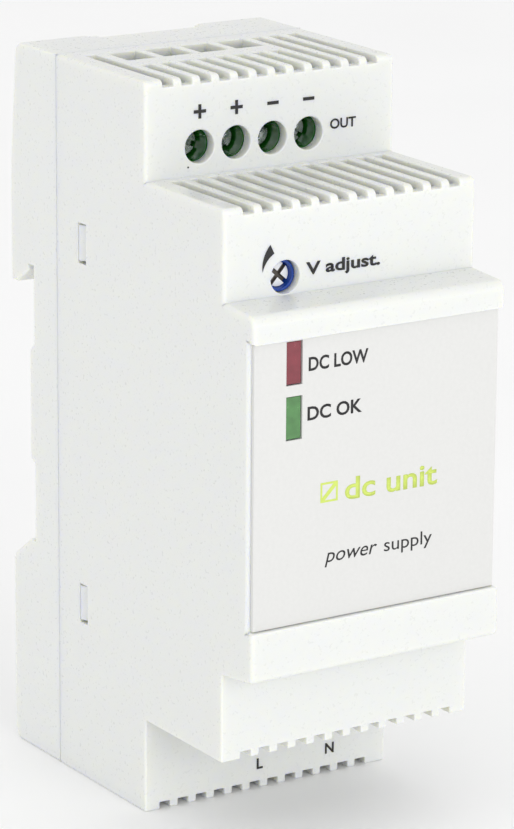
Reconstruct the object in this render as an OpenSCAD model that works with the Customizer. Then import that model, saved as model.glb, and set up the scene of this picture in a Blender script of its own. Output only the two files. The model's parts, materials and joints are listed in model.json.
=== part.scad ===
// Power supply for a 35 mm top-hat rail, two modules wide, with its inner parts.
// X is across the device, +Y towards the rail and panel, +Z up.
// The origin is the middle of the face that rests against the front of the rail.
// All sizes are in millimetres.

/* [Case] */
// Width of the device, two modules of 17.5
case_w = 35; // [34:0.5:38]
// Height of the device at the rear shoulders
case_h = 90; // [88:0.5:94]
// Height of the middle step
step_h = 66.4; // [64:0.2:68]
// Height of the nose
nose_h = 44.6; // [44:0.2:45]
// Front face of the terminal shoulders, in front of the rail
shoulder_y = 26.6; // [26:0.1:28]
// Front face of the middle step
step_y = 43.8; // [43.4:0.1:45]
// Front face of the nose
nose_y = 50.2; // [50:0.1:52]
// Rearmost face of the hooks and legs, behind the rail face
rear_y = 5.4; // [5:0.1:6]
// Joint between front housing and rear base
seam_y = 6; // [5.8:0.1:6.2]
// Wall thickness
wall = 1.6; // [1.4:0.1:1.8]
// Radius along the upper front edges of the vented faces
edge_r = 0.7; // [0.5:0.1:0.9]
// Radius along the lower front edges of the vented faces
low_edge_r = 0.25; // [0.2:0.05:0.5]

/* [Vents] */
// Number of slots side by side
vent_count = 12; // [6:1:12]
// Distance from one slot to the next
vent_pitch = 2.6; // [2.4:0.1:2.7]
// Width of one slot
vent_w = 1.5; // [1:0.1:1.5]

/* [Rail fit] */
// Height of the rail that the hooks take
rail_h = 35; // [35:0.1:35.2]
// Thickness of the rail's flanges
rail_t = 1; // [0.9:0.05:1]

/* [Terminals] */
// Distance from one terminal to the next
pole_pitch = 5.08; // [5:0.02:5.1]
// Sideways place of the first output terminal
output_x = -10; // [-10.4:0.1:-9.8]
// Sideways place of the first input terminal
input_x = -1; // [-1.4:0.1:-0.8]
// Height of the screw axes above and below the rail's centre
screw_z = 36.6; // [36.2:0.1:37]
// Radius of the screwdriver holes in the case
access_r = 2; // [1.9:0.05:2.1]
// Width of a wire entry
entry_w = 4; // [3.6:0.1:4]

/* [Indicators] */
// Sideways place of the two lamps
lamp_x = -11.5; // [-12:0.1:-11]
// Height of the upper lamp
lamp_high_z = 15.8; // [15:0.1:16]
// Height of the lower lamp
lamp_low_z = 9.3; // [8:0.1:9.6]
// Sideways place of the trimmer
trimmer_x = -9.15; // [-9.5:0.05:-9]
// Height of the trimmer
trimmer_z = 24.4; // [24.3:0.1:25]

/* [Hidden] */

$fn = 48;
half_w = case_w / 2;
half_h = case_h / 2;
half_step = step_h / 2;
half_nose = nose_h / 2;
inner_x = half_w - wall;
gap = 0.1;
eps = 0.01;
clear = 0.3;

// nose and its label
nose_r = 1.3;
nose_low_r = 0.7;
nose_top_drop = 0.3;
nose_low_drop = 0.6;
label_top = 18.65;
label_low = -15.6;
label_depth = 1.15;
label_t = 0.5;
label_inset = 0.55;
lamp_size = [2, 5];
lamp_recess = 0.2;
lamp_foot = 42.6;
lamp_leg = 1.27;

// vents: the shallow part crosses the front wall, the long ones pass the wire entries
vent_notch = 0.9;
vent_back_long = 8.5;
vent_back_short = 16.8;
vent_entry_gap = 0.5;
step_vent_back = shoulder_y + 1;
step_vent_shift = 0.2;
input_vent_shift = -0.4;

// wire entries in the top and bottom faces
entry_front = 13.8;
entry_back = 8.6;

// snap joints between the two case parts
window_y = [-12.9, -11];
window_z = 5;
window_centres = [22.9, -22.5];
arm_t = 1.1;
arm_y = [-13.8, -4.6];
arm_half_z = 2.2;
nub_y = [window_y[0] + 0.15, window_y[1] - 0.02];
nub_depth = [0.6, 0.1];
nub_lead = 0.35;
nub_flat = 0.3;

// tongues that line up the side walls of the two case parts
tongue_t = 0.9;
tongue_y = [-8, -5];
tongue_half_z = 18;

// pegs behind the front wall for the front board, and bosses on the rear base for the main board
peg_r = 1.4;
peg_places = [[-11.5, 29.4], [9, 29.4], [9, -29]];
low_peg_end = -39;
boss_places = [[-11, -40.5], [11.5, 41], [-11, 0], [11, 2]];
boss_r = 2;
screw_boss_r = 2.4;
base_floor = -1.5;

// rail channel and pad
channel_z = rail_h / 2 + 0.1;
pad_y = 1;
pad_z = 6.9;
notch_y = rail_t + 0.1;
foot_lip_z = 14.9;

// latch channel in the middle of the rear, mirrored at the top
slot_half = 7;
rail_groove_half = 8.1;
groove_y = [2.1, 4.1];
slot_wall = 1.3;
rear_pocket_y = rear_y - wall;

// latch and its spring
latch_half = slot_half - clear;
latch_y = [notch_y + clear, 4.9];
latch_bottom = half_h - 0.3;
latch_window_half = 1.9;
latch_window = [-38.1, -24];
lug_z = [latch_window[0] + clear, -36.5];
lug_half = 1.5;
key_y = [2.4, 3.8];
key_z = [-42.5, -23];
blade_half = 2.6;
blade_top = -41.2;
spring_y = 3.1;
spring_peg_r = 0.7;
spring_peg_h = 1.5;
spring_r = 1.25;
spring_wire = 0.4;
spring_turns = 7;
spring_sides = 6;
spring_steps = 12;

// circuit boards
board_t = 1.6;
board_back = 3.8;
board_front = board_back + board_t;
board_half_x = 14.3;
board_half_z = 43.2;
front_board_y = [-38.6, -37];
front_board_z = [-4, 31];
riser_x = [13.2, 14.2];
riser_z = [20, 30];
board_screw_places = [[12.2, -27.6], [-12.2, 29.4]];

// terminal blocks
block_front = shoulder_y - wall - 0.05;
block_back_z = 31.6;
block_end_z = 43.3;
block_bore_r = 1.95;
web_y = [-20.8, -19.9];
web_hole_r = 1.5;
chamber_y = [-19.9, -7.2];
chamber_half_x = 2.05;
chamber_z = [-2.6, 2.7];
head_r = 1.65;
head_y = [-22.9, -20.9];
shank_r = 1.2;
shank_end = -14.6;
thread_r = shank_r + 0.05;
cage_y = [-16.1, -7.8];
cage_half_x = 1.75;
cage_side = 0.5;
cage_front_t = 1.2;
cage_back_t = 0.8;
cage_z = [-2.3, 2.3];
contact_y = [-14.5, -13.7];
contact_half_x = 0.9;
contact_top = 2.6;
contact_foot = [-4.4, -3.4];
input_poles = [0, 2];
output_slot_turns = [18, 62, -24, 40];
input_slot_turns = [30, -50];

// trimmer
trimmer_base = 6.6;
trimmer_base_front = 41.9;
ring_front = 42.8;
ring_r = 1.9;
rotor_bore_r = 1.55;
rotor_r = 1.45;
rotor_y = [-42.15, -41.1];
rotor_slot = 0.5;
rotor_turn = 42;

// places of the parts on the main board, as [x, z]
fuse_at = [-9.5, -38];
varistor_at = [-9.5, -30];
thermistor_at = [-9.5, -24];
x_capacitor_at = [3.2, -27.6];
choke_at = [2.2, -20];
bridge_at = [-9.5, -17.5];
bulk_at = [5.5, -7.8];
transistor_at = [-8.6, -9.2];
transistor_sink_at = [-8.8, -12.1];
chip_at = [-8.7, -2.5];
auxiliary_at = [11.6, -20];
transformer_at = [-3, 11.5];
optocoupler_at = [11.4, 6.6];
y_capacitor_at = [11.6, 15];
rectifier_at = [-7.8, 24.7];
rectifier_sink_at = [-7.8, 21.8];
output_can_at = [[2.6, 25.9], [9.9, 25.9]];
inductor_at = [11.3, 37];

// sizes of the parts on the main board, with the last number away from the board
fuse_size = [4.2, 8];
varistor_size = [4.4, 3.6];
thermistor_size = [4, 3.4];
y_capacitor_size = [3.4, 3];
x_capacitor_size = [13, 6, 12];
bridge_size = [8.4, 6.2, 3.2];
chip_size = [9.6, 5.2, 3];
optocoupler_size = [4.4, 5.6, 3];
bulk_size = [8, 30];
auxiliary_size = [2.2, 11];
output_can_size = [[4, 18], [3, 14]];
sink_h = 28;
lead_pitch = 2.54;
choke_bore = 3;
choke_ring = 3;
choke_t = 4;
choke_wind = 0.8;
choke_centre = 6.8;
core_size = [20, 6, 20];
core_window = [4.8, 14];
core_leg = 3;
core_lift = 2.2;
bobbin_foot = [21, 16, 2.1];
bobbin_flange = [15.2, 14, 1];
bobbin_bore = 6.2;
winding_h = 11.6;
inductor_r = 2.8;
inductor_h = 10;

// ---- helpers ----

// points of an arc about c, from angle a0 to a1
function arc(c, r, a0, a1, n = 8) =
  [for (i = [0:n]) let (a = a0 + (a1 - a0) * i / n) [c[0] + r * cos(a), c[1] + r * sin(a)]];

// a list of [y, z] points turned upside down, in reversed order
function upside_down(points) =
  [for (i = [len(points) - 1:-1:0]) [points[i][0], -points[i][1]]];

// sideways places of the vent slots of one face, moved by shift
function vent_places(shift) =
  [for (k = [0:vent_count - 1]) (k - (vent_count - 1) / 2) * vent_pitch + shift];

// the box between two corners, given as a range on each axis
module block(x, y, z) {
  translate([x[0], y[0], z[0]])
    cube([x[1] - x[0], y[1] - y[0], z[1] - z[0]]);
}

// a [y, z] outline carried across the device
module across(outline, x0, x1) {
  translate([x0, 0, 0])
    rotate([90, 0, 90])
      linear_extrude(height = x1 - x0)
        polygon(outline);
}

// a round bar along Y
module bar_y(r, y) {
  translate([0, y[1], 0])
    rotate([90, 0, 0])
      cylinder(h = y[1] - y[0], r = r);
}

// a part that stands on the main board: its own +Z points away from the board
module on_board(at) {
  translate([at[0], -board_front, at[1]])
    rotate([90, 0, 0])
      children();
}

// a plain block standing on the board, with a footprint centred on its place
module standing_box(size) {
  translate([-size[0] / 2, -size[1] / 2, 0])
    cube(size);
}

// a round can with a small crimped waist near its foot; size is its radius and height
module can(size) {
  r = size[0];
  h = size[1];
  waist = 0.06 * h;
  rotate_extrude()
    polygon(concat(
      [[0, 0], [r, 0], [r, waist], [0.93 * r, 1.6 * waist], [r, 2.2 * waist]],
      arc([r - 0.1 * r, h - 0.1 * r], 0.1 * r, 0, 90, 4),
      [[0.8 * r, h - 0.04 * r], [0, h - 0.04 * r]]));
}

// a coated disc on two short legs, thin along its own Y; size is its radius and thickness
module disc_part(size) {
  r = size[0];
  t = size[1];
  translate([0, t / 2, r + 1.6])
    rotate([90, 0, 0])
      cylinder(h = t, r = r);
  for (side = [-1, 1])
    translate([side * 0.6 * r - 0.35, -0.35, 0])
      cube([0.7, 0.7, 0.35 * r + 1.6]);
}

// ---- case ----

// upper half of the case outline in front of the seam, from the seam to the nose's face;
// r rounds the vented faces' edges, and nose_round the nose's
function case_front_half(nose_drop, r, nose_round) = concat(
  [[-seam_y, half_h]],
  arc([-shoulder_y + r, half_h - r], r, 90, 180),
  [[-shoulder_y, half_step]],
  arc([-step_y + r, half_step - r], r, 90, 180),
  [[-step_y, half_nose]],
  arc([-nose_y + nose_round, half_nose - nose_drop - nose_round], nose_round, 94, 180));

// the recess in the nose that takes the label
function nose_face() = [
  [-nose_y, label_top], [-nose_y + label_depth, label_top],
  [-nose_y + label_depth, label_low], [-nose_y, label_low]];

// upper half of the hollow in the front housing
function hollow_front_half() = [
  [-seam_y + 1, half_h - wall], [-shoulder_y + wall, half_h - wall],
  [-shoulder_y + wall, half_step - wall], [-step_y + wall, half_step - wall],
  [-step_y + wall, half_nose - wall], [-nose_y + label_depth + wall, half_nose - wall]];

// one slot through a vented face at height top, from y_front back to y_back
module vent(x, y_front, y_back, top) {
  side = [x - vent_w / 2, x + vent_w / 2];
  block(side, [-y_front - 1, -y_back], [top - vent_notch, top + 1]);
  block(side, [-y_front + wall, -y_back], [top - wall - 1, top + 1]);
}

// true where slot x would run into a wire entry of one of the poles
function blocked(x, poles) =
  len([for (p = poles) if (abs(x - p) < (entry_w + vent_w) / 2 + vent_entry_gap) 1]) > 0;

// slots of one shoulder, shortened where a wire entry lies behind them
module shoulder_vents(poles, shift) {
  for (x = vent_places(shift))
    vent(x, shoulder_y, blocked(x, poles) ? vent_back_short : vent_back_long, half_h);
}

// slots of one face of the middle step
module step_vents() {
  for (x = vent_places(step_vent_shift))
    vent(x, step_y, step_vent_back, half_step);
}

// wire entries and screwdriver holes of one shoulder
module terminal_openings(poles) {
  for (x = poles) {
    block([x - entry_w / 2, x + entry_w / 2], [-entry_front, -entry_back], [half_h - wall - 1, half_h + 1]);
    translate([x, 0, screw_z])
      bar_y(access_r, [-shoulder_y - 1, -shoulder_y + wall + 1]);
  }
}

function output_poles() = [for (k = [0:3]) output_x + k * pole_pitch];
function input_pole_places() = [for (k = input_poles) input_x + k * pole_pitch];

module front_housing() {
  color("#e4eae4") {
    difference() {
      across(concat(
        case_front_half(nose_top_drop, edge_r, nose_r),
        nose_face(),
        upside_down(case_front_half(nose_low_drop, low_edge_r, nose_low_r))), -half_w, half_w);
      across(concat(hollow_front_half(), upside_down(hollow_front_half())), -inner_x, inner_x);
      shoulder_vents(output_poles(), 0);
      mirror([0, 0, 1])
        shoulder_vents(input_pole_places(), input_vent_shift);
      step_vents();
      mirror([0, 0, 1])
        step_vents();
      terminal_openings(output_poles());
      mirror([0, 0, 1])
        terminal_openings(input_pole_places());
      translate([trimmer_x, 0, trimmer_z])
        bar_y(access_r, [-step_y - 1, -step_y + wall + 1]);
      for (z = [lamp_high_z, lamp_low_z])
        lamp_window(z, [-nose_y - 1, -nose_y + label_depth + wall + 1]);
      for (z = window_centres)
        block([-half_w - 1, half_w + 1], window_y, [z - window_z / 2, z + window_z / 2]);
    }
    // pegs that hold the front board
    for (place = peg_places)
      translate([place[0], 0, place[1]])
        bar_y(peg_r, [-step_y + wall - 0.2, place[1] > 0 ? front_board_y[0] : low_peg_end]);
  }
}

module lamp_window(z, y) {
  block(
    [lamp_x - lamp_size[0] / 2 - gap, lamp_x + lamp_size[0] / 2 + gap], y,
    [z - lamp_size[1] / 2 - gap, z + lamp_size[1] / 2 + gap]);
}

// side outline of the rear base: hooks above, pad in the middle, legs below
function base_outline() = concat(
  [[-seam_y + gap, half_h]],
  arc([2.6, half_h - 1.5], 1.5, 90, 8),
  [[rear_y, 29]],
  arc([rear_y - 0.5, 15.5], 0.5, 0, -90, 4),
  [[3.9, 15], [2.3, 16.1], [notch_y, 17], [notch_y, channel_z], [0, channel_z]],
  [[0, pad_z + 1], [pad_y, pad_z], [pad_y, -pad_z], [0, -pad_z - 0.6]],
  [[0, 0.1 - channel_z], [notch_y, 0.1 - channel_z], [5, -20.3], [rear_y, -21]],
  [[rear_y, 1.2 - half_h], [rear_y - 1, -half_h], [-seam_y + gap, -half_h]]);

// centre channel for the latch, between the legs or between the hooks
module rear_channel(z0) {
  block([-slot_half, slot_half], [notch_y, rear_y + 1], [z0, half_h + 1]);
  block([-rail_groove_half, rail_groove_half], groove_y, [z0 + 2, half_h + 1]);
}

// hollow behind each hook or leg, open to the inside of the case
module rear_pockets(z0) {
  for (side = [0, 1])
    mirror([side, 0, 0])
      block([rail_groove_half + slot_wall, inner_x], [-2, rear_pocket_y], [z0, half_h - wall - 0.6]);
}

// nub of a springy arm: a ramp that ends nearly flush behind the window's rear edge
module snap_nub(z) {
  arm_x = inner_x - gap;
  top = half_w - nub_depth[1];
  translate([0, 0, z - arm_half_z])
    linear_extrude(height = 2 * arm_half_z)
      polygon([
        [arm_x - 0.2, nub_y[1]], [top, nub_y[1]], [top, nub_y[1] - nub_flat],
        [half_w - nub_depth[0], nub_y[0] + nub_lead],
        [arm_x + 0.1, nub_y[0]], [arm_x - 0.2, nub_y[0]]]);
}

// upright tab along a side wall: free in front of the seam, rooted in the base behind it
module side_tab(t, y, z, half_z) {
  x0 = inner_x - gap - t;
  block([x0, inner_x - gap], y, [z - half_z, z + half_z]);
  block([x0, inner_x + clear], [y[1] - eps, base_floor], [z - half_z, z + half_z]);
}

module rear_base() {
  color("#e2e8e2") {
    difference() {
      across(base_outline(), -half_w, half_w);
      block([-inner_x, inner_x], [-seam_y - 1, base_floor - 0.3], [wall - half_h, half_h - wall]);
      rear_channel(channel_z - 1);
      mirror([0, 0, 1])
        rear_channel(channel_z - 1);
      rear_pockets(channel_z + 2);
      mirror([0, 0, 1])
        rear_pockets(channel_z + 4);
    }
    // tongues inside the housing's side walls, the snap arms, and the board's bosses
    for (side = [0, 1])
      mirror([side, 0, 0]) {
        side_tab(tongue_t, tongue_y, 0, tongue_half_z);
        for (z = window_centres) {
          snap_nub(z);
          side_tab(arm_t, arm_y, z, arm_half_z);
        }
      }
    for (place = board_screw_places)
      translate([place[0], 0, place[1]])
        difference() {
          bar_y(screw_boss_r, [-board_back, base_floor]);
          bar_y(shank_r - 0.05, [-board_back - 1, base_floor - 0.4]);
        }
    for (place = boss_places)
      translate([place[0], 0, place[1]])
        bar_y(boss_r, [-board_back, base_floor]);
    // stop for the latch spring, with a peg that centres the coil
    block([-lug_half, lug_half], [notch_y - 0.3, latch_y[1] - clear], lug_z);
    translate([0, spring_y, lug_z[1] - eps])
      cylinder(h = spring_peg_h, r = spring_peg_r);
  }
}

module din_latch() {
  lip = [
    [latch_y[0], -foot_lip_z], [latch_y[0] + 0.9, -foot_lip_z], [latch_y[1], -foot_lip_z - 3.3],
    [latch_y[1], -latch_bottom + 0.6], [latch_y[1] - 0.6, -latch_bottom], [latch_y[0], -latch_bottom]];
  color("#dfe4df") {
    difference() {
      union() {
        across(lip, -latch_half, latch_half);
        block([clear - rail_groove_half, rail_groove_half - clear], key_y, key_z);
      }
      block([-latch_window_half, latch_window_half], [0, 6], latch_window);
      // pocket in the tail for a screwdriver blade, with a catch open to the rear
      block([-blade_half, blade_half], [2.2, 4.1], [-latch_bottom - 1, blade_top]);
      block([-blade_half, blade_half], [4, 6], [blade_top - 2, blade_top]);
    }
    translate([0, spring_y, latch_window[1] - spring_peg_h])
      cylinder(h = spring_peg_h + eps, r = spring_peg_r);
  }
}

// the coil: rings of points swept along a helix, closed at both ends
module latch_spring() {
  h = latch_window[1] - lug_z[1] - spring_wire;
  rings = spring_turns * spring_steps;
  points = [
    for (i = [0:rings], j = [0:spring_sides - 1])
      let (
        turn = 360 * i / spring_steps,
        side = 360 * j / spring_sides,
        r = spring_r + spring_wire / 2 * cos(side))
      [r * cos(turn), r * sin(turn), h * i / rings + spring_wire / 2 * sin(side)]];
  sides = [
    for (i = [0:rings - 1], j = [0:spring_sides - 1])
      let (
        a = i * spring_sides + j,
        b = i * spring_sides + (j + 1) % spring_sides)
      [a, b, b + spring_sides, a + spring_sides]];
  start = [for (j = [spring_sides - 1:-1:0]) j];
  end = [for (j = [0:spring_sides - 1]) rings * spring_sides + j];
  color("#b9bcc0")
    translate([0, spring_y, lug_z[1] + spring_wire / 2])
      polyhedron(points, concat([start], sides, [end]));
}

module label_plate() {
  face = -nose_y + label_depth;
  half = half_w - label_inset;
  color("#ececea")
    difference() {
      block([-half, half], [face - label_t, face], [label_low + gap, label_top - gap]);
      for (z = [lamp_high_z, lamp_low_z])
        lamp_window(z, [face - label_t - 1, face + 1]);
    }
}

// ---- indicators and trimmer ----

// rectangular lamp: lens, flange and two legs to the front board
module lamp(z, tint) {
  face = -nose_y + label_depth - label_t + lamp_recess;
  foot = -lamp_foot;
  half = lamp_size / 2;
  color(tint)
    translate([lamp_x, 0, z]) {
      block([-half[0], half[0]], [face, foot], [-half[1], half[1]]);
      block([-half[0] - 0.3, half[0] + 0.3], [foot, foot + 1], [-half[1] - 0.3, half[1] + 0.3]);
      for (leg = [-lamp_leg, lamp_leg])
        block([-0.25, 0.25], [foot + 1, front_board_y[0]], [leg - 0.25, leg + 0.25]);
    }
}

module led_red() {
  lamp(lamp_high_z, "#8c2a38");
}

module led_green() {
  lamp(lamp_low_z, "#3f8a3c");
}

module trimmer_body() {
  half = trimmer_base / 2;
  color("#1f4fb0")
    translate([trimmer_x, 0, trimmer_z])
      difference() {
        union() {
          block([-half, half], [-trimmer_base_front, front_board_y[0]], [-half, half]);
          bar_y(ring_r, [-ring_front, -trimmer_base_front + 0.2]);
        }
        bar_y(rotor_bore_r, [-ring_front - 1, rotor_y[1] + 0.05]);
      }
}

module trimmer_rotor() {
  color("#f1f1ec")
    translate([trimmer_x, 0, trimmer_z])
      difference() {
        bar_y(rotor_r, rotor_y);
        for (turn = [0, 90])
          rotate([0, rotor_turn + turn, 0])
            block([-2, 2], [rotor_y[0] - 1, rotor_y[0] + 0.5], [-rotor_slot / 2, rotor_slot / 2]);
      }
}

// ---- terminals ----

// green block over a row of poles; only the poles in use are opened
module terminal_block(first_x, width_poles, used) {
  half_pitch = pole_pitch / 2;
  x0 = first_x - half_pitch - 0.1;
  x1 = first_x + (width_poles - 1) * pole_pitch + half_pitch + 0.1;
  difference() {
    block([x0, x1], [-block_front, -board_front], [block_back_z, block_end_z]);
    for (k = used)
      translate([first_x + k * pole_pitch, 0, screw_z]) {
        bar_y(block_bore_r, [-block_front - 1, web_y[0]]);
        bar_y(web_hole_r, [web_y[0] - 1, web_y[1] + 1]);
        block([-chamber_half_x, chamber_half_x], chamber_y, chamber_z);
        block([-entry_w / 2, entry_w / 2], [-entry_front, -entry_back], [chamber_z[1] - 1, block_end_z]);
        block([-1, 1], [contact_y[0] - 0.1, contact_y[1] + 0.1], [contact_foot[0] - 0.1, 0]);
        block([-1, 1], [contact_y[0] - 0.1, 0], [contact_foot[0] - 0.1, contact_foot[1] + 0.1]);
      }
  }
}

// current bar: an upright blade in the wire chamber and a foot back to the board
module contact() {
  block([-contact_half_x, contact_half_x], contact_y, [contact_foot[0], contact_top]);
  block([-contact_half_x, contact_half_x], [contact_y[1] - eps, -board_front], contact_foot);
}

// slotted screw; turn is the angle of its slot at rest
module terminal_screw(turn) {
  difference() {
    union() {
      bar_y(head_r, head_y);
      bar_y(shank_r, [head_y[1] - eps, shank_end]);
    }
    rotate([0, turn, 0])
      block([-2, 2], [head_y[0] - 1, head_y[0] + 0.8], [-0.3, 0.3]);
    rotate([0, turn + 90, 0])
      block([-0.85, 0.85], [head_y[0] - 1, head_y[0] + 0.8], [-0.22, 0.22]);
  }
}

// box clamp: nut wall in front, pressing wall behind, open up and down for the wire
module clamp_cage() {
  difference() {
    block([-cage_half_x, cage_half_x], cage_y, cage_z);
    block(
      [cage_side - cage_half_x, cage_half_x - cage_side],
      [cage_y[0] + cage_front_t, cage_y[1] - cage_back_t], [cage_z[0] - 1, cage_z[1] + 1]);
    bar_y(thread_r, [cage_y[0] - 1, cage_y[0] + cage_front_t + 1]);
  }
}

module at_output(k) {
  translate([output_x + k * pole_pitch, 0, screw_z])
    children();
}

// input poles hang upside down below the rail
module at_input(k) {
  mirror([0, 0, 1])
    translate([input_x + input_poles[k] * pole_pitch, 0, screw_z])
      children();
}

module output_terminal_block() {
  color("#2f7d35")
    terminal_block(output_x, 4, [0, 1, 2, 3]);
}

module input_terminal_block() {
  color("#2f7d35")
    mirror([0, 0, 1])
      terminal_block(input_x, 3, input_poles);
}

module output_contacts() {
  color("#c9cbc8")
    for (k = [0:3])
      at_output(k)
        contact();
}

module input_contacts() {
  color("#c9cbc8")
    for (k = [0:1])
      at_input(k)
        contact();
}

module output_screw(k) {
  color("#b4babd")
    at_output(k)
      terminal_screw(output_slot_turns[k]);
}

module input_screw(k) {
  color("#b4babd")
    at_input(k)
      terminal_screw(input_slot_turns[k]);
}

module output_cage(k) {
  color("#a9adae")
    at_output(k)
      clamp_cage();
}

module input_cage(k) {
  color("#a9adae")
    at_input(k)
      clamp_cage();
}

module output_screw_1() { output_screw(0); }
module output_screw_2() { output_screw(1); }
module output_screw_3() { output_screw(2); }
module output_screw_4() { output_screw(3); }
module output_cage_1() { output_cage(0); }
module output_cage_2() { output_cage(1); }
module output_cage_3() { output_cage(2); }
module output_cage_4() { output_cage(3); }
module input_screw_l() { input_screw(0); }
module input_screw_n() { input_screw(1); }
module input_cage_l() { input_cage(0); }
module input_cage_n() { input_cage(1); }

// ---- circuit boards ----

module main_board() {
  color("#2c6b3f")
    difference() {
      block([-board_half_x, board_half_x], [-board_front, -board_back], [-board_half_z, board_half_z]);
      for (place = board_screw_places)
        translate([place[0], 0, place[1]])
          bar_y(1.3, [-board_front - 1, -board_back + 1]);
    }
}

module front_board() {
  color("#2c6b3f")
    block([-board_half_x, riser_x[1]], front_board_y, front_board_z);
}

module riser_board() {
  color("#2c6b3f")
    block(riser_x, [front_board_y[1], -board_front], riser_z);
}

module board_screws() {
  color("#b4babd")
    for (place = board_screw_places)
      translate([place[0], 0, place[1]])
        difference() {
          union() {
            bar_y(1.8, [-board_front - 1.3, -board_front]);
            bar_y(shank_r - 0.1, [-board_front - eps, -2]);
          }
          block([-0.3, 0.3], [-board_front - 2, -board_front - 0.7], [-1.2, 1.2]);
          block([-1.2, 1.2], [-board_front - 2, -board_front - 0.7], [-0.3, 0.3]);
        }
}

// ---- mains input ----

module fuse() {
  color("#4a2f22")
    on_board(fuse_at)
      rotate_extrude()
        polygon(concat(
          [[0, 0], [fuse_size[0], 0]],
          arc([fuse_size[0] - 0.5, fuse_size[1] - 0.5], 0.5, 0, 90, 4),
          [[0, fuse_size[1]]]));
}

module surge_varistor() {
  color("#2b56a0")
    on_board(varistor_at)
      disc_part(varistor_size);
}

module inrush_thermistor() {
  color("#39443a")
    on_board(thermistor_at)
      disc_part(thermistor_size);
}

module x_capacitor() {
  color("#d9b23a")
    on_board(x_capacitor_at)
      standing_box(x_capacitor_size);
}

// a square-edged ring about its own Y axis
module ring_along_y(bore, width, t) {
  translate([0, t / 2, 0])
    rotate([90, 0, 0])
      rotate_extrude()
        translate([bore, 0])
          square([width, t]);
}

// upright ferrite ring on a small foot
module line_choke_core() {
  color("#3b3d40")
    on_board(choke_at) {
      translate([0, 0, choke_centre])
        ring_along_y(choke_bore, choke_ring, choke_t);
      standing_box([choke_t, choke_t, 1]);
    }
}

// two windings, each a sleeve of turns round one side of the ring
module line_choke_winding() {
  color("#b5622c")
    on_board(choke_at)
      for (side = [0, 1])
        mirror([side, 0, 0])
          translate([0, 0, choke_centre])
            intersection() {
              difference() {
                ring_along_y(choke_bore - choke_wind, choke_ring + 2 * choke_wind, choke_t + 2 * choke_wind);
                ring_along_y(choke_bore, choke_ring, choke_t);
              }
              block([1.2, 7.2], [-choke_t, choke_t], [-4.6, 4.6]);
            }
}

module bridge_rectifier() {
  color("#26282b")
    on_board(bridge_at) {
      translate([0, 0, 0.8])
        standing_box(bridge_size);
      for (x = [-2.5, 2.5], z = [-3.4, 3.4])
        translate([x, z, 0])
          standing_box([1, 0.6, 2.4]);
    }
}

module bulk_capacitor() {
  color("#2a2d33")
    on_board(bulk_at)
      can(bulk_size);
}

// ---- switching stage ----

// flat package on three legs, with a metal tab above it
module power_package() {
  for (x = [-lead_pitch, 0, lead_pitch])
    translate([x, 0.4, 0])
      standing_box([0.8, 0.6, 3.2]);
  translate([0, 0, 3])
    standing_box([10, 4.2, 9]);
  translate([0, -1.45, 12])
    standing_box([10, 1.3, 6]);
}

// folded sheet standing on the board, with a foot
module sheet_sink(w, h) {
  standing_box([w, 1.5, h]);
  translate([0, 1.7, h - 1.5])
    standing_box([w, 2, 1.5]);
}

module switching_transistor() {
  color("#26282b")
    on_board(transistor_at)
      power_package();
}

module transistor_heat_sink() {
  color("#c3c6c8")
    on_board(transistor_sink_at)
      sheet_sink(10, sink_h);
}

module control_chip() {
  color("#26282b")
    on_board(chip_at) {
      translate([0, 0, 0.5])
        standing_box(chip_size);
      for (k = [0:3], z = [-2.9, 2.9])
        translate([(k - 1.5) * lead_pitch, z, 0])
          standing_box([0.6, 0.6, 2]);
    }
}

module auxiliary_capacitor() {
  color("#2a2d33")
    on_board(auxiliary_at)
      can(auxiliary_size);
}

// ferrite E pair: outer frame with two windows
module transformer_core() {
  color("#3b3d40")
    on_board(transformer_at)
      translate([0, 0, core_lift])
        difference() {
          standing_box(core_size);
          for (side = [-1, 1])
            translate([side * (core_leg + core_window[0] / 2), 0, core_leg])
              standing_box([core_window[0], core_size[1] + 2, core_window[1]]);
        }
}

// moulded former with a foot and two flanges around the core's middle leg
module transformer_bobbin() {
  color("#22252b")
    on_board(transformer_at) {
      difference() {
        standing_box(bobbin_foot);
        translate([0, 0, -1])
          standing_box([14, 8, bobbin_foot[2] + 2]);
      }
      for (h = [core_lift + core_leg + 0.1, core_lift + core_leg + core_window[1] - 1.1])
        translate([0, 0, h])
          difference() {
            standing_box(bobbin_flange);
            translate([0, 0, -1])
              standing_box([bobbin_bore, bobbin_bore, 3]);
          }
    }
}

module transformer_winding() {
  color("#e3c21f")
    on_board(transformer_at)
      translate([0, 0, core_lift + core_leg + 1.2])
        difference() {
          intersection() {
            standing_box([15, 13.4, winding_h]);
            cylinder(h = winding_h + 1, r = 8.4);
          }
          translate([0, 0, -1])
            standing_box([bobbin_bore, bobbin_bore, winding_h + 2]);
        }
}

module optocoupler() {
  color("#26282b")
    on_board(optocoupler_at) {
      translate([0, 0, 0.5])
        standing_box(optocoupler_size);
      for (x = [-lead_pitch / 2, lead_pitch / 2], z = [-3.1, 3.1])
        translate([x, z, 0])
          standing_box([0.6, 0.6, 2]);
    }
}

module y_capacitor() {
  color("#2b56a0")
    on_board(y_capacitor_at)
      rotate([0, 0, 90])
        disc_part(y_capacitor_size);
}

// ---- output side ----

module output_rectifier() {
  color("#26282b")
    on_board(rectifier_at)
      power_package();
}

module rectifier_heat_sink() {
  color("#c3c6c8")
    on_board(rectifier_sink_at)
      sheet_sink(12, sink_h);
}

module output_capacitors() {
  color("#2a2d33")
    for (k = [0, 1])
      on_board(output_can_at[k])
        can(output_can_size[k]);
}

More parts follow.
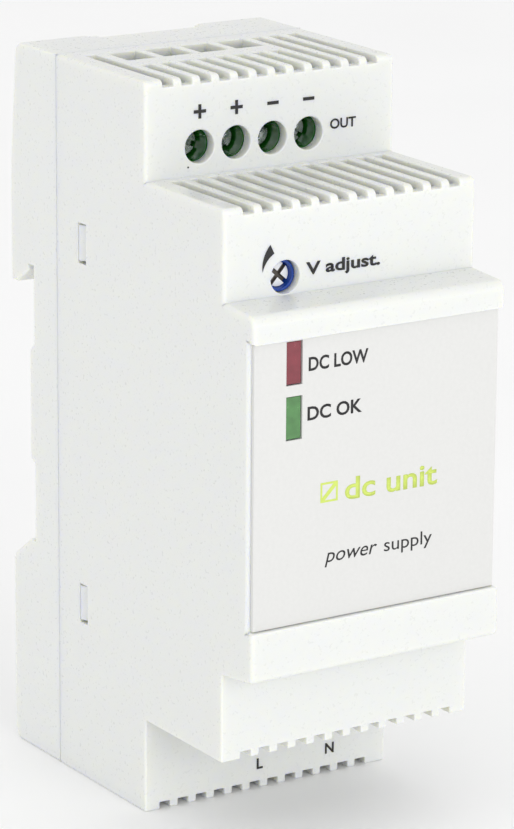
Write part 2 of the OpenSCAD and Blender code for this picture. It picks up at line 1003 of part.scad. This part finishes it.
module output_inductor() {
  color("#8f5a2c")
    on_board(inductor_at)
      rotate_extrude()
        polygon([
          [0, 0], [inductor_r, 0], [inductor_r, 1.2], [inductor_r - 0.5, 1.6],
          [inductor_r - 0.5, inductor_h - 1.6], [inductor_r, inductor_h - 1.2],
          [inductor_r, inductor_h], [0, inductor_h]]);
}

front_housing();
rear_base();
din_latch();
latch_spring();
label_plate();
led_red();
led_green();
trimmer_body();
trimmer_rotor();
output_terminal_block();
output_contacts();
output_screw_1();
output_screw_2();
output_screw_3();
output_screw_4();
output_cage_1();
output_cage_2();
output_cage_3();
output_cage_4();
input_terminal_block();
input_contacts();
input_screw_l();
input_screw_n();
input_cage_l();
input_cage_n();
main_board();
front_board();
riser_board();
board_screws();
fuse();
surge_varistor();
inrush_thermistor();
x_capacitor();
line_choke_core();
line_choke_winding();
bridge_rectifier();
bulk_capacitor();
switching_transistor();
transistor_heat_sink();
control_chip();
auxiliary_capacitor();
transformer_core();
transformer_bobbin();
transformer_winding();
optocoupler();
y_capacitor();
output_rectifier();
rectifier_heat_sink();
output_capacitors();
output_inductor();
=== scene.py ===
import json
import math

import bmesh
import bpy
from mathutils import Matrix, Vector

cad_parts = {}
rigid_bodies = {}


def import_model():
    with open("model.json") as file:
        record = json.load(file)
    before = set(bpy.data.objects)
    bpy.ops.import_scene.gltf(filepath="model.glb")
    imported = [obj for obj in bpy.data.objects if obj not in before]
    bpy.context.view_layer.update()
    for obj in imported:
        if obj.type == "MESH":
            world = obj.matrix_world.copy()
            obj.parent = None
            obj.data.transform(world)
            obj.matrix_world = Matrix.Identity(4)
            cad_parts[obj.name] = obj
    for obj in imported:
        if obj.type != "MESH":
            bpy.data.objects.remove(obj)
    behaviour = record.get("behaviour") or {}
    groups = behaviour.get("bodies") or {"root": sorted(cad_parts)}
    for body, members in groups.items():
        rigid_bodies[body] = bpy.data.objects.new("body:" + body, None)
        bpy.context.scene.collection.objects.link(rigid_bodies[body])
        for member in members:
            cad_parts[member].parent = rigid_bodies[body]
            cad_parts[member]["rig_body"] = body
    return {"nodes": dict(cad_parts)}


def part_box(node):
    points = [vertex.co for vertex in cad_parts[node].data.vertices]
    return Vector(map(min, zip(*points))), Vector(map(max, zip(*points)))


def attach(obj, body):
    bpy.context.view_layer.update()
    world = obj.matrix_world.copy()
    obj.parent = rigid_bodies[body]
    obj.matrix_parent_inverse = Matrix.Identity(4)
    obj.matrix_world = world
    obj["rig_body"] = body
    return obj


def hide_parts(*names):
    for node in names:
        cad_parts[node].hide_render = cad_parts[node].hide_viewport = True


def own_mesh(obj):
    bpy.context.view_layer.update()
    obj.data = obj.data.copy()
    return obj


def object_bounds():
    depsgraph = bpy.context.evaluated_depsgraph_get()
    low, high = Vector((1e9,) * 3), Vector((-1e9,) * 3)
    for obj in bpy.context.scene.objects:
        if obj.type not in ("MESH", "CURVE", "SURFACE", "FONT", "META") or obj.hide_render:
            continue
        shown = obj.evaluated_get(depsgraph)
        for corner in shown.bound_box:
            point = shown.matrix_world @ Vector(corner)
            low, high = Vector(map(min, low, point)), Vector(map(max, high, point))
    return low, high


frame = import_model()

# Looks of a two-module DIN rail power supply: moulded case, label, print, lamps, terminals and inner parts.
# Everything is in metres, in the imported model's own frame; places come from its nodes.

MM = 0.001
cad_low, cad_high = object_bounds()
SEAM_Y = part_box("front_housing")[1].y
SHOULDER_Y = -26.6 * MM
STEP_Y = -43.8 * MM
TRIMMER_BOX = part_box("trimmer_rotor")

# ---- camera ----
CAMERA_AZIMUTH = math.radians(-32.76)
CAMERA_ELEVATION = math.radians(15.57)
CAMERA_ROLL = math.radians(0.38)
CAMERA_DISTANCE = 502.15 * MM
CAMERA_TARGET = Vector((3.1, -19.0, 0.37)) * MM
CAMERA_LENS = 177.96
CAMERA_SENSOR = 36.0

# ---- mesh clean-up and edge rounding ----
WELD = 0.002 * MM
NEAR = 0.02 * MM
FLAT = math.radians(1)
SHARP = math.radians(32)
OUTLINE_RADIUS = 0.5 * MM
LOW_OUTLINE_RADIUS = 0.24 * MM
BASE_OUTLINE_RADIUS = 0.3 * MM
FINE_RADIUS = 0.15 * MM
BASE_RADIUS = 0.1 * MM
PART_RADIUS = 0.08 * MM
CRISP_RADIUS = 0.04 * MM
HOLE_REACH = 2.1 * MM
WINDOW_Y = (-13.2 * MM, -10.7 * MM)
INSIDE_BASE_Y = -1.4 * MM
LOW_OUTLINE_Z = -22.2 * MM
NOSE_TOP_Z = 22.3 * MM
LABEL_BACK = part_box("label_plate")[1].y
PART_RADII = {
    "label_plate": CRISP_RADIUS, "trimmer_rotor": CRISP_RADIUS,
    "output_screw": CRISP_RADIUS, "input_screw": CRISP_RADIUS,
    "output_terminal_block": 0.02 * MM, "input_terminal_block": 0.02 * MM,
    "output_cage": 0, "input_cage": 0, "line_choke": 0,
}

# ---- ink ----
INK_THICKNESS = 0.02 * MM


def tilted_camera():
    """The camera looks at a point of the case, from its left and from above, with a touch of roll."""
    a, e = CAMERA_AZIMUTH, CAMERA_ELEVATION
    back = Vector((math.sin(a) * math.cos(e), -math.cos(a) * math.cos(e), math.sin(e)))
    level = Vector((math.cos(a), math.sin(a), 0))
    upright = back.cross(level)
    right = level * math.cos(CAMERA_ROLL) + upright * math.sin(CAMERA_ROLL)
    up = upright * math.cos(CAMERA_ROLL) - level * math.sin(CAMERA_ROLL)
    data = bpy.data.cameras.new("camera")
    data.lens = CAMERA_LENS
    data.sensor_width = CAMERA_SENSOR
    data.clip_start = 0.01
    data.clip_end = 20
    camera = bpy.data.objects.new("camera", data)
    turn = Matrix((right, up, back)).transposed().to_4x4()
    camera.matrix_world = Matrix.Translation(CAMERA_TARGET + back * CAMERA_DISTANCE) @ turn
    bpy.context.scene.collection.objects.link(camera)
    bpy.context.scene.camera = camera


# ---- material parts ----
def shade(colour, share):
    """A colour made darker or lighter by a share."""
    return tuple(min(1.0, c * share) for c in colour)


def node_material(name):
    """A new material, its node tree and its shader."""
    material = bpy.data.materials.new(name)
    material.use_nodes = True
    return material, material.node_tree, material.node_tree.nodes["Principled BSDF"]


def add_place(tree, scale, turn=(0, 0, 0)):
    """Object coordinates, scaled and turned."""
    coordinates = tree.nodes.new("ShaderNodeTexCoord")
    mapping = tree.nodes.new("ShaderNodeMapping")
    mapping.inputs["Scale"].default_value = scale
    mapping.inputs["Rotation"].default_value = turn
    tree.links.new(coordinates.outputs["Object"], mapping.inputs["Vector"])
    return mapping.outputs["Vector"]


def add_noise(tree, size, detail, stretch):
    """Noise with patches about size metres across, drawn out where stretch is above 1."""
    texture = tree.nodes.new("ShaderNodeTexNoise")
    texture.inputs["Scale"].default_value = 1
    texture.inputs["Detail"].default_value = detail
    tree.links.new(add_place(tree, [1 / (size * s) for s in stretch]), texture.inputs["Vector"])
    return texture.outputs["Fac"]


def add_ramp(tree, factor, low, high, start=0.3, end=0.7):
    """A colour that goes from low to high as factor goes from start to end."""
    ramp = tree.nodes.new("ShaderNodeValToRGB")
    ramp.color_ramp.elements[0].position = start
    ramp.color_ramp.elements[1].position = end
    ramp.color_ramp.elements[0].color = (*low, 1)
    ramp.color_ramp.elements[1].color = (*high, 1)
    tree.links.new(factor, ramp.inputs["Fac"])
    return ramp.outputs["Color"]


def add_range(tree, factor, low, high):
    """A number between low and high."""
    span = tree.nodes.new("ShaderNodeMapRange")
    span.inputs["From Min"].default_value = 0.3
    span.inputs["From Max"].default_value = 0.7
    span.inputs["To Min"].default_value = low
    span.inputs["To Max"].default_value = high
    tree.links.new(factor, span.inputs["Value"])
    return span.outputs["Result"]


def add_bump(tree, shader, height, depth):
    """Relief of the given depth in metres."""
    bump = tree.nodes.new("ShaderNodeBump")
    bump.inputs["Distance"].default_value = depth
    tree.links.new(height, bump.inputs["Height"])
    tree.links.new(bump.outputs["Normal"], shader.inputs["Normal"])


def surface(name, colour, vary=0.06, patch=3 * MM, rough=(0.3, 0.45), grain=0.15 * MM,
            relief=0.003 * MM, metallic=0.0, stretch=(1, 1, 1)):
    """A finish whose colour, roughness and relief all vary a little over it."""
    material, tree, shader = node_material(name)
    clouds = add_noise(tree, patch, 3, stretch)
    colours = add_ramp(tree, clouds, shade(colour, 1 - vary), shade(colour, 1 + vary / 2))
    tree.links.new(colours, shader.inputs["Base Color"])
    tree.links.new(add_range(tree, clouds, *rough), shader.inputs["Roughness"])
    add_bump(tree, shader, add_noise(tree, grain, 2, stretch), relief)
    shader.inputs["Metallic"].default_value = metallic
    return material, tree, shader


# ---- materials ----
def moulded_plastic(name, colour):
    """Pale semi-gloss plastic that lets warm light through its thin ribs."""
    material, _, shader = surface(name, colour, 0.004, 0.4 * MM, (0.27, 0.30), 0.2 * MM, 0.0006 * MM)
    shader.inputs["Subsurface Weight"].default_value = 0.7
    shader.inputs["Subsurface Radius"].default_value = (1.0, 0.9, 0.45)
    shader.inputs["Subsurface Scale"].default_value = 1.4 * MM
    shader.inputs["IOR"].default_value = 1.53
    return material


def label_film(name):
    """Pale matt film with a fine pearly grain."""
    return surface(name, (0.655, 0.655, 0.642), 0.02, 0.5 * MM, (0.38, 0.5), 0.16 * MM, 0.002 * MM)[0]


def tinted_lens(name, colour):
    """Tinted glossy plastic of an unlit lamp."""
    material, _, shader = surface(name, colour, 0.2, 1.2 * MM, (0.16, 0.28), 0.3 * MM, 0.001 * MM)
    shader.inputs["Coat Weight"].default_value = 0.6
    shader.inputs["Coat Roughness"].default_value = 0.08
    return material


def bright_metal(name, colour, rough=(0.2, 0.38), stretch=(1, 1, 1)):
    """Plated or rolled metal with fine marks."""
    return surface(name, colour, 0.12, 0.8 * MM, rough, 0.07 * MM, 0.002 * MM, 1.0, stretch)[0]


def circuit_laminate(name):
    """Green solder mask over a glass weave."""
    material, tree, shader = surface(
        name, (0.03, 0.16, 0.07), 0.3, 4 * MM, (0.3, 0.42), 0.3 * MM, 0.002 * MM)
    weave = tree.nodes.new("ShaderNodeTexBrick")
    weave.inputs["Scale"].default_value = 1
    weave.inputs["Brick Width"].default_value = 1.0
    weave.inputs["Row Height"].default_value = 0.5
    weave.inputs["Mortar Size"].default_value = 0.08
    weave.inputs["Color1"].default_value = (0.035, 0.19, 0.08, 1)
    weave.inputs["Color2"].default_value = (0.03, 0.16, 0.07, 1)
    weave.inputs["Mortar"].default_value = (0.02, 0.10, 0.045, 1)
    per_mm = 1 / (3 * MM)
    place = add_place(tree, (per_mm, per_mm, per_mm), (math.radians(90), 0, 0))
    tree.links.new(place, weave.inputs["Vector"])
    tree.links.new(weave.outputs["Color"], shader.inputs["Base Color"])
    return material


def wound_wire(name, colour, wire, turn=(0, 0, 0)):
    """Enamelled wire laid side by side: a band for each turn, its colour darker towards the creases between
    turns as painted shade.
    """
    material, tree, shader = surface(name, colour, 0.15, 1 * MM, (0.18, 0.3), 0.2 * MM, 0)
    bands = tree.nodes.new("ShaderNodeTexWave")
    bands.wave_type = "BANDS"
    bands.inputs["Scale"].default_value = 1
    bands.inputs["Distortion"].default_value = 0.3
    turns = math.pi / (10 * wire)
    tree.links.new(add_place(tree, (turns, turns, turns), turn), bands.inputs["Vector"])
    # Each band goes from dark to the wire's colour: painted shade in the creases between turns.
    colours = add_ramp(tree, bands.outputs["Fac"], shade(colour, 0.35), shade(colour, 1.1), 0.0, 0.6)
    tree.links.new(colours, shader.inputs["Base Color"])
    add_bump(tree, shader, bands.outputs["Fac"], 0.3 * wire)
    return material


def all_finishes():
    """The material of each of the record's slots."""
    white_case = (0.735, 0.748, 0.732)
    coated = {"rough": (0.25, 0.4), "grain": 0.4 * MM, "relief": 0.01 * MM, "patch": 1.5 * MM}
    return {
        "case_grey": moulded_plastic("case_grey_moulded", white_case),
        "base_grey": moulded_plastic("base_grey_moulded", shade(white_case, 1.01)),
        "latch_grey": moulded_plastic("latch_grey_moulded", shade(white_case, 0.96)),
        "label_white": label_film("label_white_film"),
        "lens_red": tinted_lens("lens_red_tinted", (0.205, 0.024, 0.038)),
        "lens_green": tinted_lens("lens_green_tinted", (0.075, 0.225, 0.065)),
        "trimmer_blue": surface("trimmer_blue_moulded", (0.006, 0.048, 0.30), 0.1, 1 * MM, (0.2, 0.3))[0],
        "trimmer_white": surface(
            "trimmer_white_moulded", (0.85, 0.86, 0.86), 0.04, 0.6 * MM, (0.25, 0.35))[0],
        "block_green": surface("block_green_moulded", (0.014, 0.13, 0.012), 0.14, 1.5 * MM, (0.12, 0.2))[0],
        "tinned_copper": bright_metal("tinned_copper_bar", (0.72, 0.71, 0.66)),
        "zinc_screw": bright_metal("zinc_plated", (0.74, 0.77, 0.80), (0.16, 0.34)),
        "cage_steel": bright_metal("cage_steel_pressed", (0.66, 0.67, 0.66)),
        "spring_steel": bright_metal("spring_steel_wire", (0.55, 0.56, 0.57), (0.2, 0.3), (1, 1, 4)),
        "board_laminate": circuit_laminate("board_laminate_masked"),
        "fuse_brown": surface("fuse_brown_moulded", (0.07, 0.035, 0.02), 0.15)[0],
        "disc_blue": surface("disc_blue_coated", (0.02, 0.09, 0.36), 0.12, **coated)[0],
        "disc_dark": surface("disc_dark_coated", (0.04, 0.055, 0.04), 0.15, **coated)[0],
        "film_yellow": surface("film_yellow_box", (0.70, 0.45, 0.04), 0.08)[0],
        "ferrite": surface("ferrite_sintered", (0.045, 0.045, 0.05), 0.25, 0.6 * MM, (0.45, 0.65))[0],
        "copper_wire": wound_wire("copper_wire_wound", (0.62, 0.22, 0.08), 0.6 * MM),
        "package_black": surface("package_black_moulded", (0.02, 0.02, 0.022), 0.25, 1 * MM, (0.4, 0.6))[0],
        "can_sleeve": surface("can_sleeve_shrunk", (0.02, 0.024, 0.034), 0.2, 3 * MM, (0.25, 0.4))[0],
        "sink_aluminium": bright_metal("sink_aluminium_rolled", (0.72, 0.73, 0.74), (0.28, 0.42), (1, 8, 1)),
        "bobbin_black": surface("bobbin_black_moulded", (0.018, 0.019, 0.024), 0.2)[0],
        "winding_tape": wound_wire(
            "winding_tape_wrapped", (0.75, 0.55, 0.03), 2.4 * MM, (0, math.radians(90), 0)),
    }


# ---- pieces ----
def link_piece(name, mesh, body, material):
    """A new object for a mesh, riding on a body, with its material."""
    piece = bpy.data.objects.new(name, mesh)
    bpy.context.scene.collection.objects.link(piece)
    mesh.materials.clear()
    mesh.materials.append(material)
    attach(piece, body)
    return piece


def body_of(node):
    """The name of the body that a CAD node belongs to."""
    return frame["nodes"][node]["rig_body"]


def slot_of(node):
    """The name of the record's material slot of a CAD node."""
    return frame["nodes"][node].data.materials[0].name


def centres(axis, *nodes):
    """The planes through the middle of nodes, each given by its axis and its place on that axis."""
    return {(axis, sum(v[axis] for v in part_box(node)) / 2) for node in nodes}


def hole_cuts(node):
    """The planes that leave no face of a node with a hole in it."""
    outputs = ["output_screw_%d" % k for k in range(1, 5)]
    inputs = ["input_screw_l", "input_screw_n"]
    if node == "front_housing":
        lower_windows, wire_entries = (2, -24 * MM), (1, -11.2 * MM)
        return {lower_windows, wire_entries} | centres(2, outputs[0], inputs[0], "trimmer_rotor")
    if node == "label_plate":
        return {(0, v.x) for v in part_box("led_red")} | centres(2, "led_red", "led_green")
    if node == "output_terminal_block":
        return centres(0, *outputs) | centres(2, outputs[0])
    if node == "input_terminal_block":
        return centres(0, *inputs) | centres(2, inputs[0])
    return set()


def clean_copy(node):
    """The node's solid, welded, with each flat face whole but for the cuts through holes."""
    shell = bmesh.new()
    shell.from_mesh(frame["nodes"][node].data)
    bmesh.ops.remove_doubles(shell, verts=shell.verts, dist=WELD)
    cuts = hole_cuts(node)
    for axis, place in sorted(cuts):
        normal = Vector([float(k == axis) for k in range(3)])
        everything = shell.verts[:] + shell.edges[:] + shell.faces[:]
        bmesh.ops.bisect_plane(shell, geom=everything, dist=WELD, plane_co=normal * place, plane_no=normal)
    loose = [
        edge for edge in shell.edges
        if not any(all(abs(v.co[axis] - place) < WELD for v in edge.verts) for axis, place in cuts)]
    bmesh.ops.dissolve_limit(shell, angle_limit=FLAT, verts=shell.verts, edges=loose, delimit=set())
    return shell


def rounded(node, finishes, radius_of, segments=2):
    """A piece that stands for a CAD node, each sharp edge rounded by its own radius; 0 leaves it sharp."""
    shell = clean_copy(node)
    weight = shell.edges.layers.float.new("bevel_weight_edge")
    radii = {edge: radius_of(edge) for edge in shell.edges if edge.calc_face_angle(0) > SHARP}
    largest = max(radii.values())
    for edge, radius in radii.items():
        edge[weight] = radius / largest if largest else 0
        edge.smooth = radius > 0
    name = node + "_finished"
    mesh = bpy.data.meshes.new(name)
    shell.to_mesh(mesh)
    shell.free()
    if "custom_normal" in mesh.attributes:
        mesh.attributes.remove(mesh.attributes["custom_normal"])
    mesh.shade_smooth()
    piece = link_piece(name, mesh, body_of(node), finishes[slot_of(node)])
    if largest:
        bevel = piece.modifiers.new("edges", "BEVEL")
        bevel.limit_method = "WEIGHT"
        bevel.width = largest
        bevel.segments = segments
        bevel.use_clamp_overlap = False
        bevel.loop_slide = False
    normals = piece.modifiers.new("normals", "WEIGHTED_NORMAL")
    normals.weight = 80
    normals.keep_sharp = True
    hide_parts(node)


def paint(piece, material, chosen):
    """Gives some faces of a piece a second material."""
    piece.data.materials.append(material)
    for face in piece.data.polygons:
        if chosen(face):
            face.material_index = 1


def in_rotor_slot(face):
    """True for the walls and the floor of the slots across the trimmer's rotor, where the slot's painted
    shade goes.
    """
    low, high = TRIMMER_BOX
    rim = 0.1 * MM
    out = face.center - (low + high) / 2
    inside = math.hypot(out.x, out.z) < (high.x - low.x) / 2 - rim
    return inside and low.y + NEAR < face.center.y < high.y - NEAR


def on_side(edge):
    """True for an edge that lies in a side face of the case."""
    return any(all(abs(v.co.x - side) < NEAR for v in edge.verts) for side in (cad_low.x, cad_high.x))


def near_trimmer(edge):
    """True for the trimmer's hole and for the crease at the top of the nose, which comes close to it."""
    low, high = TRIMMER_BOX
    middle = (low + high) / 2
    in_crease = all(abs(v.co.y - STEP_Y) < NEAR and abs(v.co.z - NOSE_TOP_Z) < NEAR for v in edge.verts)
    at_hole = all(
        math.hypot(v.co.x - middle.x, v.co.z - middle.z) < HOLE_REACH for v in edge.verts)
    return in_crease or at_hole


def housing_radius(edge):
    """Crisp edges at windows, seam, label recess and trimmer, soft ones on the side outline, others fine."""
    in_window = all(WINDOW_Y[0] < v.co.y < WINDOW_Y[1] for v in edge.verts)
    at_seam = all(SEAM_Y - v.co.y < NEAR for v in edge.verts)
    behind_label = not on_side(edge) and all(abs(v.co.y - LABEL_BACK) < NEAR for v in edge.verts)
    if in_window or at_seam or behind_label or near_trimmer(edge):
        return CRISP_RADIUS
    if on_side(edge):
        below_nose = any(v.co.z < LOW_OUTLINE_Z for v in edge.verts)
        return LOW_OUTLINE_RADIUS if below_nose else OUTLINE_RADIUS
    return FINE_RADIUS


def base_radius(edge):
    """Soft edges on the rear base's side outline, finer ones behind, crisp ones inside the case."""
    if all(v.co.y < INSIDE_BASE_Y for v in edge.verts):
        return CRISP_RADIUS
    return BASE_OUTLINE_RADIUS if on_side(edge) else BASE_RADIUS


def part_radius(node):
    """One radius for all edges of a small part; the thinnest rims allow none."""
    for start, radius in PART_RADII.items():
        if node.startswith(start):
            return lambda edge: radius
    return lambda edge: PART_RADIUS


# ---- print ----
def flat_mesh(curve):
    """A flat filled mesh from a 2D curve or text, in the curve's own XY plane."""
    holder = bpy.data.objects.new("holder", curve)
    bpy.context.scene.collection.objects.link(holder)
    evaluated = holder.evaluated_get(bpy.context.evaluated_depsgraph_get())
    mesh = bpy.data.meshes.new_from_object(evaluated)
    bpy.data.objects.remove(holder)
    return mesh


def lettering(words, left, right, foot, height, slant=0.0, weight=0.0):
    """Words stretched between left and right, standing on foot, their tallest letter height tall."""
    curve = bpy.data.curves.new("words", "FONT")
    curve.body = words
    curve.shear = slant
    curve.offset = weight
    curve.resolution_u = 4
    mesh = flat_mesh(curve)
    across = [v.co.x for v in mesh.vertices]
    tallest = max(v.co.y for v in mesh.vertices)
    scale_x = (right - left) / (max(across) - min(across))
    for v in mesh.vertices:
        v.co = ((v.co.x - min(across)) * scale_x + left, v.co.y * height / tallest + foot, 0)
    return mesh


def shape(*outlines):
    """A filled flat shape; an outline inside another is a hole."""
    curve = bpy.data.curves.new("shape", "CURVE")
    curve.dimensions = "2D"
    curve.fill_mode = "BOTH"
    for outline in outlines:
        spline = curve.splines.new("POLY")
        spline.points.add(len(outline) - 1)
        for point, (x, z) in zip(spline.points, outline):
            point.co = (x, z, 0, 1)
        spline.use_cyclic_u = True
    return flat_mesh(curve)


def bar(x, z, width, height):
    """The corners of an upright rectangle about its centre."""
    w, h = width / 2, height / 2
    return [(x - w, z - h), (x + w, z - h), (x + w, z + h), (x - w, z + h)]


def ring(x, z, radius, count):
    """Points of a circle."""
    turns = [2 * math.pi * k / count for k in range(count)]
    return [(x + radius * math.cos(t), z + radius * math.sin(t)) for t in turns]


def plus(x, z, size, stroke):
    """The corners of a plus sign."""
    s, w = size / 2, stroke / 2
    quarter = [(s, -w), (s, w), (w, w)]
    corners = []
    for k in range(4):
        c, n = round(math.cos(k * math.pi / 2)), round(math.sin(k * math.pi / 2))
        corners += [(x + c * px - n * pz, z + n * px + c * pz) for px, pz in quarter]
    return corners


def turn_arrow(x, z, start, end, thin, wide, count=14):
    """A tapered stroke along an arc about a knob: from radius thin at start to the radii wide at end."""
    inner, outer = [], []
    for k in range(count + 1):
        share = k / count
        angle = math.radians(start + (end - start) * share)
        for radius, points in ((wide[0], inner), (wide[1], outer)):
            r = thin + (radius - thin) * share
            points.append((x + r * math.cos(angle), z + r * math.sin(angle)))
    return inner + outer[::-1][:-1]


def print_on(name, face, ink, meshes):
    """Flat meshes drawn in X and Z, laid as one layer of ink on the front face at depth face."""
    layer = bmesh.new()
    for mesh in meshes:
        layer.from_mesh(mesh)
    bmesh.ops.remove_doubles(layer, verts=layer.verts, dist=WELD)
    for v in layer.verts:
        v.co = (v.co.x * MM, face, v.co.y * MM)
    raised = bmesh.ops.extrude_face_region(layer, geom=layer.faces[:])
    for item in raised["geom"]:
        if isinstance(item, bmesh.types.BMVert):
            item.co.y -= INK_THICKNESS
    bmesh.ops.recalc_face_normals(layer, faces=layer.faces)
    mesh = bpy.data.meshes.new(name)
    layer.to_mesh(mesh)
    layer.free()
    link_piece(name, mesh, "case", ink)


def all_print():
    """The printed marks, in millimetres: poles, output, adjuster, lamps, panel and mains input."""
    dark = surface("ink_dark", (0.011, 0.011, 0.012), 0.3, 0.5 * MM, (0.45, 0.6), 0.1 * MM, 0.001 * MM)[0]
    lime = surface("ink_lime", (0.56, 0.68, 0.13), 0.06, 0.5 * MM, (0.45, 0.6), 0.1 * MM, 0.001 * MM)[0]
    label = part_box("label_plate")[0].y
    pole_z = 40.8
    print_on("print_output", SHOULDER_Y, dark, [
        shape(plus(-10.0, pole_z, 1.7, 0.4)),
        shape(plus(-4.92, pole_z, 1.7, 0.4)),
        shape(bar(0.16, pole_z, 1.6, 0.4)),
        shape(bar(5.2, pole_z, 1.6, 0.4)),
        shape(ring(-11.6, 34.3, 0.12, 10)),
        lettering("OUT", 8.3, 12.0, 36.8, 1.2, weight=0.022)])
    print_on("print_adjuster", STEP_Y, dark, [
        shape(turn_arrow(-9.15, 24.4, 164, 117, 3.2, (3.3, 4.5))),
        lettering("V adjust.", -6.3, 4.0, 24.3, 1.45, weight=0.026)])
    print_on("print_lamps", label, dark, [
        lettering("DC LOW", -9.6, -1.4, 14.65, 1.6, weight=0.022),
        lettering("DC OK", -9.7, -2.2, 8.8, 1.6, weight=0.022),
        lettering("power", -7.1, 0.2, -8.7, 1.15, slant=0.25),
        lettering("supply", 1.2, 8.0, -8.7, 1.6)])
    print_on("print_panel", label, lime, [
        shape(bar(-6.6, -0.2, 2.4, 2.4), bar(-6.6, -0.2, 1.9, 1.9)),
        shape([(-7.55, -1.15), (-7.2, -1.15), (-5.65, 0.4), (-5.65, 0.75), (-6.0, 0.75), (-7.55, -0.8)]),
        lettering("dc unit", -4.4, 8.6, -1.5, 2.6, weight=0.018)])
    print_on("print_mains", SHOULDER_Y, dark, [
        lettering("L", -1.5, -0.6, -42.5, 1.35, weight=0.025),
        lettering("N", 8.6, 9.9, -42.45, 1.35, weight=0.025)])


# ---- latch spring ----
def coil_spring(finishes):
    """A round-wire compression spring whose end turns lie closed, made around the CAD spring's place."""
    low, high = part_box("latch_spring")
    centre = (low + high) / 2
    length = high.z - low.z
    wire_radius = 0.2 * MM
    radius = (high.x - low.x) / 2 - wire_radius
    turns, closed, sides, steps = 7, 1.0, 10, 28
    count = turns * steps
    height = length - 2 * wire_radius
    pitch_end = 2.2 * wire_radius
    coil = bmesh.new()
    rings = []
    for i in range(count + 1):
        t = i / steps
        if t < closed:
            z = pitch_end * t
        elif t > turns - closed:
            z = height - pitch_end * (turns - t)
        else:
            z = pitch_end * closed + (height - 2 * pitch_end * closed) * (t - closed) / (turns - 2 * closed)
        angle = 2 * math.pi * t
        out = Vector((math.cos(angle), math.sin(angle), 0))
        middle = Vector((centre.x, centre.y, low.z + wire_radius + z)) + out * radius
        rings.append([
            coil.verts.new(
                middle + out * wire_radius * math.cos(2 * math.pi * j / sides)
                + Vector((0, 0, wire_radius * math.sin(2 * math.pi * j / sides))))
            for j in range(sides)])
    for a, b in zip(rings, rings[1:]):
        for j in range(sides):
            k = (j + 1) % sides
            coil.faces.new((a[j], a[k], b[k], b[j]))
    coil.faces.new(rings[0][::-1])
    coil.faces.new(rings[-1])
    bmesh.ops.recalc_face_normals(coil, faces=coil.faces)
    mesh = bpy.data.meshes.new("latch_spring_coil")
    coil.to_mesh(mesh)
    coil.free()
    mesh.shade_smooth()
    piece = link_piece("latch_spring_coil", mesh, "case", finishes["spring_steel"])
    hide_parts("latch_spring")
    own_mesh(piece)


# ---- all pieces ----
def all_pieces(finishes):
    """Every CAD node gets its finished piece."""
    rounded("front_housing", finishes, housing_radius, segments=3)
    rounded("rear_base", finishes, base_radius)
    coil_spring(finishes)
    made = {"front_housing", "rear_base", "latch_spring"}
    for node in sorted(set(frame["nodes"]) - made):
        rounded(node, finishes, part_radius(node))
    # The rotor slot's walls and floor are painted dark brown: painted shade inside the slot.
    slot_shade = surface("trimmer_slot_painted_shade", (0.10, 0.085, 0.07), 0.3, 0.3 * MM, (0.4, 0.6))[0]
    paint(bpy.data.objects["trimmer_rotor_finished"], slot_shade, in_rotor_slot)


# ---- studio ----
def pale_floor(height):
    """A wide pale floor under the object."""
    half = 4.0
    mesh = bpy.data.meshes.new("floor")
    corners = [(-half, -half, height), (half, -half, height), (half, half, height), (-half, half, height)]
    mesh.from_pydata(corners, [], [(0, 1, 2, 3)])
    floor = bpy.data.objects.new("floor", mesh)
    bpy.context.scene.collection.objects.link(floor)
    pale = surface("floor_pale", (0.965, 0.965, 0.965), 0.01, 60 * MM, (0.6, 0.7), 1 * MM, 0)[0]
    mesh.materials.append(pale)


def soft_box(name, place, target, width, height, watts):
    """A large soft light aimed at a point; it lights the object but doesn't show behind it."""
    light = bpy.data.lights.new(name, "AREA")
    light.shape = "RECTANGLE"
    light.size = width
    light.size_y = height
    light.energy = watts
    lamp = bpy.data.objects.new(name, light)
    lamp.location = place
    lamp.visible_camera = False
    lamp.rotation_euler = (Vector(target) - Vector(place)).to_track_quat("-Z", "Y").to_euler()
    bpy.context.scene.collection.objects.link(lamp)


def studio():
    """White surroundings with a large soft light in front and a weaker one on the left."""
    middle = (cad_low + cad_high) / 2
    world = bpy.data.worlds.new("studio")
    world.use_nodes = True
    world.node_tree.nodes["Background"].inputs["Color"].default_value = (1, 1, 1, 1)
    world.node_tree.nodes["Background"].inputs["Strength"].default_value = 0.92
    bpy.context.scene.world = world
    soft_box("front_light", middle + Vector((0, -1.2, 0.1)), middle, 1.0, 1.0, 8.0)
    soft_box("left_light", middle + Vector((-1.2, -0.2, 0.1)), middle, 1.0, 1.0, 2.9)
    bpy.context.scene.view_settings.view_transform = "Standard"


tilted_camera()
pale_floor(cad_low.z)
studio()
finishes = all_finishes()
all_pieces(finishes)
all_print()
